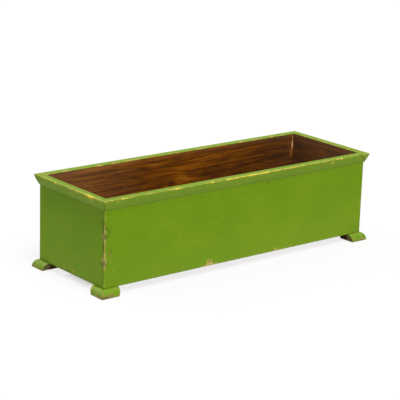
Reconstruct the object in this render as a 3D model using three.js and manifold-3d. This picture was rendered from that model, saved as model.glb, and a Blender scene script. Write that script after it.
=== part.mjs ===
// A painted wooden window box: four boards round a floor, a splayed rim moulding mitred at the
// corners, and four moulded corner feet. Millimetres, +Z up. X runs along the length, -Y is the
// front, and the origin is on the ground, under the middle of the box.

import * as THREE from 'three';
import { mergeVertices } from 'three/addons/utils/BufferGeometryUtils.js';
import Module from 'manifold-3d';

const wasm = await Module();
wasm.setup();

// ---- Driving dimensions ----

// The box of boards, without its rim and feet.
const BODY_LENGTH = 743;
const BODY_WIDTH = 244;
const WALL_HEIGHT = 193.5;
const BOARD_THICKNESS = 9.5;
const FLOOR_THICKNESS = 9.5;

// The rim moulding: thin at its lower edge, splayed outwards to the top.
const RIM_HEIGHT = 22;
const RIM_FLARE = 9.5;
const RIM_LOWER_EDGE = 1;
const RIM_CROWN = 0.8; // how far its outer face swells past a straight slope

// The feet: two mouldings mitred at the corner round a square glue block.
const FOOT_HEIGHT = 18;
const FOOT_FLARE = 12.5;
const FOOT_MOULDING_THICKNESS = 19;
const FOOT_LENGTH_ON_SIDE = 32.5; // on the ground, from the end of the box
const FOOT_LENGTH_ON_END = 28.5;
const FOOT_UNDERCUT_ON_SIDE = 5; // how much longer each leg of a foot is at its top
const FOOT_UNDERCUT_ON_END = 8.5;

// Drain holes, in a row along the floor.
const DRAIN_HOLE_DIAMETER = 12;
const DRAIN_HOLE_COUNT = 5;
const DRAIN_ROW_MARGIN = 90; // from the end of the box to the outermost holes

// Nails for the walls and the floor, brads for the rim, screws for the feet.
const NAIL_LENGTH = 32;
const NAIL_DIAMETER = 1.8;
const NAIL_HEAD_DIAMETER = 3;
const NAIL_HEAD_HEIGHT = 1;
const NAIL_SET = 0.5; // how far a head is punched below the face
const BRAD_DIAMETER = 1.2;
const BRAD_HEAD_DIAMETER = 2;
const BRAD_HEAD_HEIGHT = 0.8;
const BRAD_SET = 0.9;
const SCREW_DIAMETER = 3.8;
const SCREW_HEAD_DIAMETER = 7.6;
const SCREW_HEAD_HEIGHT = 2.4;
const SCREW_HEAD_LIP = 0.5; // the straight edge of the countersunk head
const SCREW_SET = 1;
const TIP_COVER = 2.5; // wood left over the tip of a brad or a screw

const NAILS_PER_CORNER = 3;
const CORNER_NAIL_MARGIN = 34; // from the lower edge of a wall, and below the rim moulding
const FLOOR_NAILS_PER_SIDE = 3;
const FLOOR_NAILS_PER_END = 2;
const BRADS_PER_SIDE = 3;
const BRADS_PER_END = 2;
const EDGE_NAIL_MARGIN = 70; // from the end of a wall to its outermost floor nail or brad

// Clearances.
const GLUE_LINE = 0.2; // between two glued faces
const MITRE_GAP = 0.3; // between the two faces of a mitre
const FASTENER_CLEARANCE = 0.3;

// Fineness of round shapes.
const RIM_STEPS = 5;
const FOOT_STEPS = 8;
const FASTENER_SIDES = 8;
const DRAIN_HOLE_SIDES = 24;
const BORE_OVERRUN = 2; // how far a cutting shape runs past the face that it opens

// ---- Heights and places that follow ----

const BODY_BOTTOM = FOOT_HEIGHT;
const BODY_TOP = BODY_BOTTOM + WALL_HEIGHT;
const RIM_BOTTOM = BODY_TOP - RIM_HEIGHT;
const END_BOARD_LENGTH = BODY_WIDTH - 2 * (BOARD_THICKNESS + GLUE_LINE);
const FOOT_MOULDING_BACK = FOOT_MOULDING_THICKNESS - FOOT_FLARE; // inside the wall's outer face
const FOOT_TOP = FOOT_HEIGHT - GLUE_LINE;
const MITRE_SETBACK = MITRE_GAP / Math.SQRT2; // each moulding's share, measured along it

// ---- Materials ----

const material = (color, roughness, metalness = 0) =>
  new THREE.MeshStandardMaterial({ color, roughness, metalness, flatShading: true });
const greenPaint = material(0x71961e, 0.5);
const stainedBoard = material(0x6b451f, 0.6);
const bareWood = material(0x8a6a45, 0.75);
const steel = material(0x8d8a84, 0.4, 1);

// ---- Geometry helpers ----

// The same surface with its shared vertices merged and its empty triangles dropped.
function closed(geometry) {
  const bare = geometry.clone();
  bare.deleteAttribute('normal');
  bare.deleteAttribute('uv');
  const merged = mergeVertices(bare, 1e-4);
  const corners = merged.index.array;
  const triangles = [];
  for (let i = 0; i < corners.length; i += 3) {
    const [a, b, c] = [corners[i], corners[i + 1], corners[i + 2]];
    if (a !== b && b !== c && c !== a) triangles.push(a, b, c);
  }
  merged.setIndex(triangles);
  return merged;
}

function solidFrom(closedGeometry) {
  return new wasm.Manifold(new wasm.Mesh({
    numProp: 3,
    vertProperties: new Float32Array(closedGeometry.attributes.position.array),
    triVerts: new Uint32Array(closedGeometry.index.array),
  }));
}

function geometryFrom(solid) {
  const { vertProperties, triVerts } = solid.getMesh();
  const geometry = new THREE.BufferGeometry();
  geometry.setAttribute('position', new THREE.BufferAttribute(vertProperties, 3));
  geometry.setIndex(new THREE.BufferAttribute(triVerts, 1));
  geometry.computeVertexNormals();
  return geometry;
}

// A straight length of moulding along X, whose section's points are { out, up }, out running
// towards -Y: up its back first, and down its face. Each end is a flat cut, given as a function
// from a point of the section to the X where the cut meets it.
function mouldingGeometry(section, startCut, endCut) {
  const outline = section.map(({ out, up }) => new THREE.Vector2(-out, up));
  const positions = [];
  for (const cut of [startCut, endCut]) {
    for (const { out, up } of section) positions.push(cut(out, up), -out, up);
  }
  const count = section.length;
  const triangles = [];
  for (let i = 0; i < count; i += 1) {
    const next = (i + 1) % count;
    triangles.push(i, next, count + next, i, count + next, count + i);
  }
  for (const [a, b, c] of THREE.ShapeUtils.triangulateShape(outline, [])) {
    triangles.push(c, b, a, count + a, count + b, count + c);
  }
  const geometry = new THREE.BufferGeometry();
  geometry.setAttribute('position', new THREE.Float32BufferAttribute(positions, 3));
  geometry.setIndex(triangles);
  return geometry;
}

// Evenly spaced places from -reach to reach, or one in the middle.
function spread(count, reach) {
  if (count === 1) return [0];
  return Array.from({ length: count }, (_, i) => reach * ((2 * i) / (count - 1) - 1));
}

// ---- The scene graph: one group, with a turned group for each wall ----

const planter = new THREE.Group();

// Every piece's solid, which its bores are cut from before it becomes the piece's geometry.
const solids = new Map();

function addPiece(parent, name, geometry, pieceMaterial, x = 0, y = 0, z = 0) {
  const piece = new THREE.Mesh(geometry, pieceMaterial);
  piece.name = name;
  piece.position.set(x, y, z);
  parent.add(piece);
  solids.set(piece, solidFrom(closed(geometry)));
  return piece;
}

function cut(piece, closedTool) {
  solids.set(piece, solids.get(piece).subtract(solidFrom(closedTool)));
}

// Each wall's group is turned so that the wall faces its own -Y, as the front wall does.
const walls = [
  { name: 'front', turn: 0, long: true },
  { name: 'right', turn: Math.PI / 2, long: false },
  { name: 'back', turn: Math.PI, long: true },
  { name: 'left', turn: -Math.PI / 2, long: false },
].map(({ name, turn, long }) => {
  const group = new THREE.Group();
  group.rotation.z = turn;
  planter.add(group);
  return {
    name,
    long,
    group,
    halfLength: (long ? BODY_LENGTH : BODY_WIDTH) / 2,
    faceY: -(long ? BODY_WIDTH : BODY_LENGTH) / 2,
  };
});

// ---- Boards ----

function addWallBoard(wall) {
  const length = wall.long ? BODY_LENGTH : END_BOARD_LENGTH;
  const name = wall.long ? `${wall.name}_board` : `${wall.name}_end_board`;
  wall.board = addPiece(
    wall.group, name, new THREE.BoxGeometry(length, BOARD_THICKNESS, WALL_HEIGHT), stainedBoard,
    0, wall.faceY + BOARD_THICKNESS / 2, BODY_BOTTOM + WALL_HEIGHT / 2,
  );
}

function addFloorBoard() {
  const inset = 2 * (BOARD_THICKNESS + GLUE_LINE);
  const geometry = new THREE.BoxGeometry(BODY_LENGTH - inset, BODY_WIDTH - inset, FLOOR_THICKNESS);
  const floor = addPiece(
    planter, 'floor_board', geometry, stainedBoard, 0, 0, BODY_BOTTOM + FLOOR_THICKNESS / 2,
  );
  const radius = DRAIN_HOLE_DIAMETER / 2;
  const drill = closed(new THREE.CylinderGeometry(
    radius, radius, FLOOR_THICKNESS + 2 * BORE_OVERRUN, DRAIN_HOLE_SIDES,
  )).rotateX(Math.PI / 2);
  for (const x of spread(DRAIN_HOLE_COUNT, BODY_LENGTH / 2 - DRAIN_ROW_MARGIN)) {
    cut(floor, drill.clone().translate(x, 0, 0));
  }
  return floor;
}

// ---- Rim moulding ----

// How far the rim's outer face stands off the wall at a height above the rim's lower edge.
function rimFace(up) {
  const share = up / RIM_HEIGHT;
  const slope = RIM_LOWER_EDGE + (RIM_FLARE - RIM_LOWER_EDGE) * share;
  return slope + 4 * RIM_CROWN * share * (1 - share);
}

function rimSection() {
  const section = [{ out: GLUE_LINE, up: 0 }, { out: GLUE_LINE, up: RIM_HEIGHT }];
  for (let i = RIM_STEPS; i >= 0; i -= 1) {
    const up = (RIM_HEIGHT * i) / RIM_STEPS;
    section.push({ out: rimFace(up), up });
  }
  return section;
}

// A mitre on a wall's outer corner: the moulding grows as far along as it stands out.
const mitreCut = (halfLength, end) => (out) => end * (halfLength + out - MITRE_SETBACK);

function addRim(wall) {
  const geometry = mouldingGeometry(
    rimSection(), mitreCut(wall.halfLength, -1), mitreCut(wall.halfLength, 1),
  );
  wall.rim = addPiece(
    wall.group, `${wall.name}_rim`, geometry, greenPaint, 0, wall.faceY, RIM_BOTTOM,
  );
}

// ---- Feet ----

// A quarter of an ellipse, from the wall's face at the top out to the ground.
function footSection() {
  const section = [
    { out: -FOOT_MOULDING_BACK, up: 0 },
    { out: -FOOT_MOULDING_BACK, up: FOOT_TOP },
  ];
  for (let i = 0; i <= FOOT_STEPS; i += 1) {
    const angle = (Math.PI / 2) * (i / FOOT_STEPS);
    section.push({ out: FOOT_FLARE * Math.sin(angle), up: FOOT_TOP * Math.cos(angle) });
  }
  return section;
}

// How far from the end of the box a leg of a foot reaches, at a height above the ground.
const legReach = (long, up) =>
  long
    ? FOOT_LENGTH_ON_SIDE + FOOT_UNDERCUT_ON_SIDE * (up / FOOT_TOP)
    : FOOT_LENGTH_ON_END + FOOT_UNDERCUT_ON_END * (up / FOOT_TOP);

// A leg runs along its wall from the mitre at one corner. end is -1 at the wall's left corner.
function addFootMoulding(wall, end, corner) {
  const mitre = mitreCut(wall.halfLength, end);
  const sawn = (_, up) => end * (wall.halfLength - legReach(wall.long, up));
  const geometry = mouldingGeometry(
    footSection(), end < 0 ? mitre : sawn, end < 0 ? sawn : mitre,
  );
  const name = `${corner}_foot_${wall.long ? 'side' : 'end'}_moulding`;
  addPiece(wall.group, name, geometry, greenPaint, 0, wall.faceY, 0);
}

// The block fills the corner behind the mouldings, and is sawn off in line with their ends.
function addFootBlock(corner, signX, signY) {
  const start = FOOT_MOULDING_BACK + GLUE_LINE;
  const geometry = new THREE.BoxGeometry(1, 1, FOOT_TOP);
  const position = geometry.attributes.position;
  for (let i = 0; i < position.count; i += 1) {
    const up = position.getZ(i) + FOOT_TOP / 2;
    const fromEnd = position.getX(i) * signX > 0 ? start : legReach(true, up);
    const fromSide = position.getY(i) * signY > 0 ? start : legReach(false, up);
    position.setXYZ(
      i, signX * (BODY_LENGTH / 2 - fromEnd), signY * (BODY_WIDTH / 2 - fromSide), up,
    );
  }
  return addPiece(planter, `${corner}_foot_block`, geometry, bareWood);
}

// ---- Fasteners ----

// Round about Y, with its head's top at the origin and its tip below. Each bore is the
// fastener's own outline, larger by the clearance, and open past the head.
function fastener({ length, diameter, headDiameter, headHeight, headLip, point }) {
  const shank = diameter / 2;
  const head = headDiameter / 2;
  const gap = FASTENER_CLEARANCE;
  const lathe = (outline) =>
    new THREE.LatheGeometry(outline.map(([r, y]) => new THREE.Vector2(r, y)), FASTENER_SIDES);
  return {
    geometry: lathe([
      [0, -length], [shank, point - length], [shank, -headHeight], [head, -headLip], [head, 0], [0, 0],
    ]),
    bore: closed(lathe([
      [0, -length - gap], [shank + gap, -length - gap], [shank + gap, -headHeight - gap],
      [head + gap, -headLip - gap], [head + gap, BORE_OVERRUN], [0, BORE_OVERRUN],
    ])),
  };
}

const nail = fastener({
  length: NAIL_LENGTH,
  diameter: NAIL_DIAMETER,
  headDiameter: NAIL_HEAD_DIAMETER,
  headHeight: NAIL_HEAD_HEIGHT,
  headLip: NAIL_HEAD_HEIGHT,
  point: 2 * NAIL_DIAMETER,
});

// The brads go in halfway up the rim, through it and most of the wall.
const BRAD_UP = RIM_HEIGHT / 2;
const brad = fastener({
  length: rimFace(BRAD_UP) - BRAD_SET + BOARD_THICKNESS - TIP_COVER,
  diameter: BRAD_DIAMETER,
  headDiameter: BRAD_HEAD_DIAMETER,
  headHeight: BRAD_HEAD_HEIGHT,
  headLip: BRAD_HEAD_HEIGHT,
  point: 2 * BRAD_DIAMETER,
});

const screw = fastener({
  length: FOOT_HEIGHT - SCREW_SET + FLOOR_THICKNESS - TIP_COVER,
  diameter: SCREW_DIAMETER,
  headDiameter: SCREW_HEAD_DIAMETER,
  headHeight: SCREW_HEAD_HEIGHT,
  headLip: SCREW_HEAD_LIP,
  point: 2 * SCREW_DIAMETER,
});

const OUT_OF_WALL = new THREE.Vector3(0, -1, 0);
const OUT_OF_GROUND = new THREE.Vector3(0, 0, -1);

// Drives a fastener into the pieces that it joins. Its head's top is at x, y, z in the parent.
function drive(parent, name, { geometry, bore }, facing, [x, y, z], pieces) {
  const item = addPiece(parent, name, geometry, steel, x, y, z);
  item.quaternion.setFromUnitVectors(new THREE.Vector3(0, 1, 0), facing);
  planter.updateMatrixWorld(true);
  for (const piece of pieces) {
    const toPiece = piece.matrixWorld.clone().invert().multiply(item.matrixWorld);
    cut(piece, bore.clone().applyMatrix4(toPiece));
  }
}

// Through a long wall into the edge of the end board that it laps.
function nailCorner(wall, end, endWall) {
  const x = end * (wall.halfLength - BOARD_THICKNESS / 2);
  const lowest = BODY_BOTTOM + CORNER_NAIL_MARGIN;
  const highest = RIM_BOTTOM - CORNER_NAIL_MARGIN;
  spread(NAILS_PER_CORNER, (highest - lowest) / 2).forEach((z, i) => {
    drive(
      wall.group, `${wall.name}_${endWall.name}_corner_nail_${i + 1}`, nail, OUT_OF_WALL,
      [x, wall.faceY + NAIL_SET, (highest + lowest) / 2 + z], [wall.board, endWall.board],
    );
  });
}

// Through a wall into the edge of the floor.
function nailFloor(wall, floor) {
  const count = wall.long ? FLOOR_NAILS_PER_SIDE : FLOOR_NAILS_PER_END;
  spread(count, wall.halfLength - EDGE_NAIL_MARGIN).forEach((x, i) => {
    drive(
      wall.group, `${wall.name}_floor_nail_${i + 1}`, nail, OUT_OF_WALL,
      [x, wall.faceY + NAIL_SET, BODY_BOTTOM + FLOOR_THICKNESS / 2], [wall.board, floor],
    );
  });
}

function pinRim(wall) {
  const count = wall.long ? BRADS_PER_SIDE : BRADS_PER_END;
  spread(count, wall.halfLength - EDGE_NAIL_MARGIN).forEach((x, i) => {
    drive(
      wall.group, `${wall.name}_rim_brad_${i + 1}`, brad, OUT_OF_WALL,
      [x, wall.faceY - rimFace(BRAD_UP) + BRAD_SET, RIM_BOTTOM + BRAD_UP], [wall.rim, wall.board],
    );
  });
}

// Up through the middle of the glue block into the floor.
function screwFoot(corner, block, floor, signX, signY) {
  const start = FOOT_MOULDING_BACK + GLUE_LINE;
  const x = signX * (BODY_LENGTH / 2 - (start + FOOT_LENGTH_ON_SIDE) / 2);
  const y = signY * (BODY_WIDTH / 2 - (start + FOOT_LENGTH_ON_END) / 2);
  drive(planter, `${corner}_foot_screw`, screw, OUT_OF_GROUND, [x, y, SCREW_SET], [block, floor]);
}

// ---- Assembly ----

const floor = addFloorBoard();
walls.forEach(addWallBoard);
walls.forEach(addRim);

// Each long wall meets an end wall at its left (-1) and at its right (1), seen from outside.
const [front, right, back, left] = walls;
const corners = [
  { longWall: front, endWall: left, end: -1, signX: -1, signY: -1 },
  { longWall: front, endWall: right, end: 1, signX: 1, signY: -1 },
  { longWall: back, endWall: right, end: -1, signX: 1, signY: 1 },
  { longWall: back, endWall: left, end: 1, signX: -1, signY: 1 },
];
for (const { longWall, endWall, end, signX, signY } of corners) {
  const corner = `${longWall.name}_${endWall.name}`;
  addFootMoulding(longWall, end, corner);
  addFootMoulding(endWall, -end, corner);
  const block = addFootBlock(corner, signX, signY);
  screwFoot(corner, block, floor, signX, signY);
  nailCorner(longWall, end, endWall);
}
for (const wall of walls) {
  nailFloor(wall, floor);
  pinRim(wall);
}
for (const [piece, solid] of solids) piece.geometry = geometryFrom(solid);

export default planter;
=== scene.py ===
import math

import bpy
import numpy as np
from mathutils import Matrix, Vector, noise


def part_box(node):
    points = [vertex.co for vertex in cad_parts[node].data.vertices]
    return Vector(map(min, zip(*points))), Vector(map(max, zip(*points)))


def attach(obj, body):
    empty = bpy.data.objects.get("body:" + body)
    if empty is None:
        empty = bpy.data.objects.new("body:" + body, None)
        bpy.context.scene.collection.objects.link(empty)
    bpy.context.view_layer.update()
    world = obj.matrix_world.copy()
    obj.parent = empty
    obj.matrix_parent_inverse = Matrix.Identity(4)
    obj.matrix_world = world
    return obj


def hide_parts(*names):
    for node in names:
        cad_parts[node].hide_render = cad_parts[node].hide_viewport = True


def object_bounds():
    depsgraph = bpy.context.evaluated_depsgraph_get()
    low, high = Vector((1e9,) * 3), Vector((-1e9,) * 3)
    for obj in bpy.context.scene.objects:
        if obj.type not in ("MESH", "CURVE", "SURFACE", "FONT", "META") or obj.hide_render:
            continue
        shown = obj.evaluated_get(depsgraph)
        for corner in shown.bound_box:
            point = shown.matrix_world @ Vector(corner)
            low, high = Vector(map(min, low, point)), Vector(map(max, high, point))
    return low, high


# A painted wooden window box: green paint rubbed through to a yellow undercoat along its edges,
# stained pine inside, a splayed rim and four moulded feet. Metres in the scene; the sizes below
# are millimetres, as a maker would give them.

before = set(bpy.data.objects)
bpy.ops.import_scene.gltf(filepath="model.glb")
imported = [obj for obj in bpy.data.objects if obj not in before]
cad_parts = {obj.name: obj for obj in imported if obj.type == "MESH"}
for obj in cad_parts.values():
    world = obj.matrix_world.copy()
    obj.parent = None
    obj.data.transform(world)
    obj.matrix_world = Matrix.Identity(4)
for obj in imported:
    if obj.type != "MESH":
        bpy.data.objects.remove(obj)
cad_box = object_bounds()

MM = 0.001

# ---- Sizes taken from the frame, in millimetres ----


def node_box(name):
    """The lowest and highest corner of a CAD node, in millimetres."""
    return tuple(np.array(corner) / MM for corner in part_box(name))


BOX_HIGH = np.array(cad_box[1]) / MM
BOARD_LOW, BOARD_HIGH = node_box("front_board")
RIM_LOW, RIM_HIGH = node_box("front_rim")
HALF_LENGTH = BOARD_HIGH[0]
HALF_WIDTH = -BOARD_LOW[1]
THICKNESS = BOARD_HIGH[1] - BOARD_LOW[1]
INNER_WIDTH = HALF_WIDTH - THICKNESS
BODY_BOTTOM = BOARD_LOW[2]
BODY_TOP = BOARD_HIGH[2]
RIM_BOTTOM = RIM_LOW[2]
RIM_HEIGHT = RIM_HIGH[2] - RIM_LOW[2]
RIM_FLARE = -RIM_LOW[1] - HALF_WIDTH
FOOT_FLARE = BOX_HIGH[0] - HALF_LENGTH
FOOT_HIGH = node_box("front_left_foot_side_moulding")[1]
FOOT_TOP = FOOT_HIGH[2]
FOOT_BACK = HALF_WIDTH + FOOT_HIGH[1]
FLOOR_LOW, FLOOR_HIGH = node_box("floor_board")
SCREWS = [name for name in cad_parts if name.endswith("foot_screw")]

# ---- Sizes of the finer shapes, in millimetres ----

GLUE_LINE = 0.2
MITRE_GAP = 0.3
RIM_LOWER_EDGE = 1.0
RIM_LOWER_ROUND = 0.35
RIM_CROWN = 0.8
FOOT_REACH_SIDE = 32.5  # on the ground, from the end of the box
FOOT_REACH_END = 28.5
FOOT_UNDERCUT_SIDE = 5.0  # how much longer each leg is at its top
FOOT_UNDERCUT_END = 8.5

DRAIN_HOLE_RADIUS = 6.0
DRAIN_HOLE_CHAMFER = 0.7
DRAIN_HOLE_PLACES = [281.5 * share for share in (-1, -0.5, 0, 0.5, 1)]
SCREW_SET = 1.0  # above the ground
SCREW_HEAD_RADIUS = 3.8
SCREW_HEAD_HEIGHT = 2.4
SCREW_HEAD_LIP = 0.4
SCREW_SHANK_RADIUS = 1.9
SCREW_LENGTH = 23.0
SCREW_POINT = 7.0  # how long its tapered point is, and the radius of its tip
SCREW_TIP = 0.3
RECESS_REACH = 2.1
RECESS_WIDTH = 0.9
RECESS_DEPTH = 1.6
RECESS_TAPER = 0.45  # how much of its reach is left at its bottom
TURNED_SIDES = 32
DRAIN_HOLE_SIDES = 48
BORE_GAP = 0.3

PAINT_LAP = 2.6  # how far the paint laps down over the inner edge
STAIN_START = 2.2  # how deep below the inner face the stain starts, and is full
STAIN_FULL = 0.2
STAIN_FROM_END = 3  # how far in from a long board's end it is full
BARE_UNDER = 2.5  # how far in under a board the paint stops
CORNER_ROUND = 1.5  # worn outer corners of the box
BOTTOM_ROUND = 1.0
INNER_TOP_ROUND = 0.9
CLOSED_JOINT_ROUND = 0.06  # where paint has filled the joint
JOINT_ROUND = 0.18  # edges that meet another piece
RIM_TOP_ROUND = 1.3
RIM_END_PALE = 25  # how much further in the pale end of a rim reaches at its top
FOOT_GROUND_ROUND = 1.0
FACE_STEP = 4.5  # between the rows of a board's grid, away from its edges
EDGE_ROWS = (0, 0.12, 0.3, 0.55, 0.9, 1.5, 2.4, 3.8)
SECTION_STEP = 1.6
MOULDING_STEP = 2.0
# Distance from a moulding's cut end, and how far inset.
MITRE_EASE = ((0, 0.3), (0.12, 0.12), (0.35, 0), (1.1, 0), (2.4, 0))
HAND_WAVE = 0.25  # how far a planed face strays from flat

CAMERA_PLACE = (-2.15313, -2.61296, 1.09329)
CAMERA_AZIMUTH = -39.22
CAMERA_ELEVATION = 15.97
CAMERA_ROLL = 1.80
CAMERA_LENS = 139.63
SENSOR = 36


# ---- Helpers ----


def linear(hex_colour, alpha=1.0):
    """An sRGB colour, such as #71961e, as linear light."""
    light = []
    for i in (1, 3, 5):
        share = int(hex_colour[i:i + 2], 16) / 255
        light.append(share / 12.92 if share <= 0.04045 else ((share + 0.055) / 1.055) ** 2.4)
    return (*light, alpha)


def node(tree, kind, inputs=None, **settings):
    """Adds a node. An input is named, or numbered, and takes a value, a socket or a node."""
    made = tree.nodes.new(kind)
    for name, value in settings.items():
        setattr(made, name, value)
    for key, value in (inputs or {}).items():
        if isinstance(key, int):
            socket = made.inputs[key]
        else:
            socket = next(s for s in made.inputs if s.enabled and s.name == key)
        if isinstance(value, bpy.types.Node):
            value = next(s for s in value.outputs if s.enabled)
        if isinstance(value, bpy.types.NodeSocket):
            tree.links.new(value, socket)
        else:
            socket.default_value = value
    return made


def ramp(made, stops):
    """Sets the colours of a Color Ramp node: (position, hex colour or grey level), in order."""
    elements = made.color_ramp.elements
    while len(elements) < len(stops):
        elements.new(1.0)
    for element, (position, colour) in zip(elements, stops):
        element.position = position
        element.color = linear(colour) if isinstance(colour, str) else (colour,) * 3 + (1.0,)
    return made


def grain_scale(along, length, width):
    """Mapping scale for marks of that length and width in mm, running along axis 0 or 1."""
    scale = [1 / (width * MM)] * 3
    scale[along] = 1 / (length * MM)
    return scale


def near(distance, reach, most=1.0):
    """most where distance is 0, falling to 0 at reach."""
    return most * np.clip(1 - np.abs(distance) / reach, 0, 1)


def rise(value, start, full):
    """0 at start, and 1 at full and beyond it."""
    return np.clip((value - start) / (full - start), 0, 1)


def profile(places, stops):
    """Straight lines through (place, value) stops."""
    return np.interp(places, [s[0] for s in stops], [s[1] for s in stops])


def slow_noise(points, size, seed):
    """Smooth noise from -1 to 1 at each point, with features of about that size in mm."""
    shift = Vector((seed * 17.3, seed * 5.1, seed * 9.7))
    return np.array([noise.noise(Vector(p) / size + shift) for p in points])


def patches(points, size, seed, contrast):
    """The same noise from 0 to 1, in patches whose edges are sharper with more contrast."""
    return np.clip(0.5 + contrast * slow_noise(points, size, seed), 0, 1)


def from_corner(points):
    """How far each point is from the box's nearest upright corner, along the faces, in mm."""
    return (HALF_LENGTH - abs(points[:, 0])) + (HALF_WIDTH - abs(points[:, 1]))


def from_mitre(points):
    """How far each point is from the nearest corner's mitre, in mm along a face."""
    return (HALF_LENGTH - abs(points[:, 0])) - (HALF_WIDTH - abs(points[:, 1]))


# ---- Materials ----

LOW_GLOSS = 0.12  # of a common varnish's 0.5
EGGSHELL_ROUGHNESS = 0.58
FOOT_GLOSS = 0.2  # two coats, and less sun
FOOT_ROUGHNESS = 0.4
RUBBED_ROUGHNESS = 0.75
# The depth of each finish's relief, in mm.
PAINT_RELIEF = 0.12
STAIN_RELIEF = 0.15
SAW_RELIEF = 0.12
RUST_RELIEF = 0.03

# Patterns in the paint: size in mm, then the noise's detail and roughness.
COAT_CLOUDS = 110, 3.0, 0.55  # a hand's breadth
SPECKS = 2.2, 4.0, 0.65
BLOTCHES = 12, 2.0, 0.5
LAP_WANDER = 7, 3.0, 0.6
BRUSH_LINE = 130, 1.7  # length and width
# Patterns in stained pine: size along, across and through the board, then as above.
STAIN_CLOUDS = (62, 9, 17), 4.0, 0.6
GROWTH_RINGS = (190, 4.5, 40), 5.0, 0.68
FIBRES = (40, 1.0, 1.0), 4.0, 0.6
SAW_STREAK = 25, 1.5  # length and width
SAW_MARK = 2  # apart
SAW_MARK_TURN = 78  # degrees
RUST_SPECK = 1.5

GREEN_COAT = (0.30, "#638b05"), (0.50, "#698e07"), (0.70, "#70910a")
# The pale green of dust and fading, also used for the painted light.
FADED_AND_LIT_GREEN = "#9daa4a"
THIN_GREEN = "#a9a845"
WORN_FRINGE = "#8e7a30"
WEATHERED_WOOD = (0.3, "#5e4630"), (0.7, "#a8947a")
# Dirt, also used for the painted shade under the rim and on the feet.
DIRT_AND_SHADE = "#33260f"
STAIN_COLOURS = (
    (0.38, "#402107"), (0.465, "#613405"), (0.53, "#7b4503"), (0.60, "#905407"), (0.69, "#a66a1e"),
)
KNOT_COLOUR = "#1d0f07"
# Dark damp on the floor, and the painted shade on the inner walls.
DAMP_AND_SHADE = "#2c1a10"
GREY_DUST = "#93775f"
BARE_PINE = "#f8cc8b"
# Sawn pine, darkened to stand in for the shade under the box.
SAWN_COLOURS_IN_SHADE = (0.3, "#241b0b"), (0.55, "#382c13"), (0.75, "#54441f")
GREY_STEEL = "#9a9892"
RUST = "#6b4630"
# The colours of an undercoat, and how far it is rubbed where it gives way to wood.
BRIGHT_UNDERCOAT = ((0.35, "#b89c3c"), (0.60, "#e6d04a")), 1.15
DULL_UNDERCOAT = ((0.35, "#9a8a48"), (0.60, "#c6b962")), 0.9
OLIVE_UNDERCOAT = ((0.35, "#675b2c"), (0.60, "#958d4a")), 1.1


def blank_material(name):
    made = bpy.data.materials.new(name)
    made.use_nodes = True
    made.node_tree.nodes.clear()
    return made, made.node_tree


def finish_material(tree, colour, roughness, height, depth_mm, values):
    """Joins the layers to one glossy surface. Height is 0 to 1, and depth_mm its real relief."""
    bump = node(tree, "ShaderNodeBump", {
        "Height": height, "Strength": 1.0, "Distance": depth_mm * MM,
    })
    shader = node(tree, "ShaderNodeBsdfPrincipled", {
        "Base Color": colour, "Roughness": roughness, "Normal": bump, **values,
    })
    node(tree, "ShaderNodeOutputMaterial", {"Surface": shader})


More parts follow.
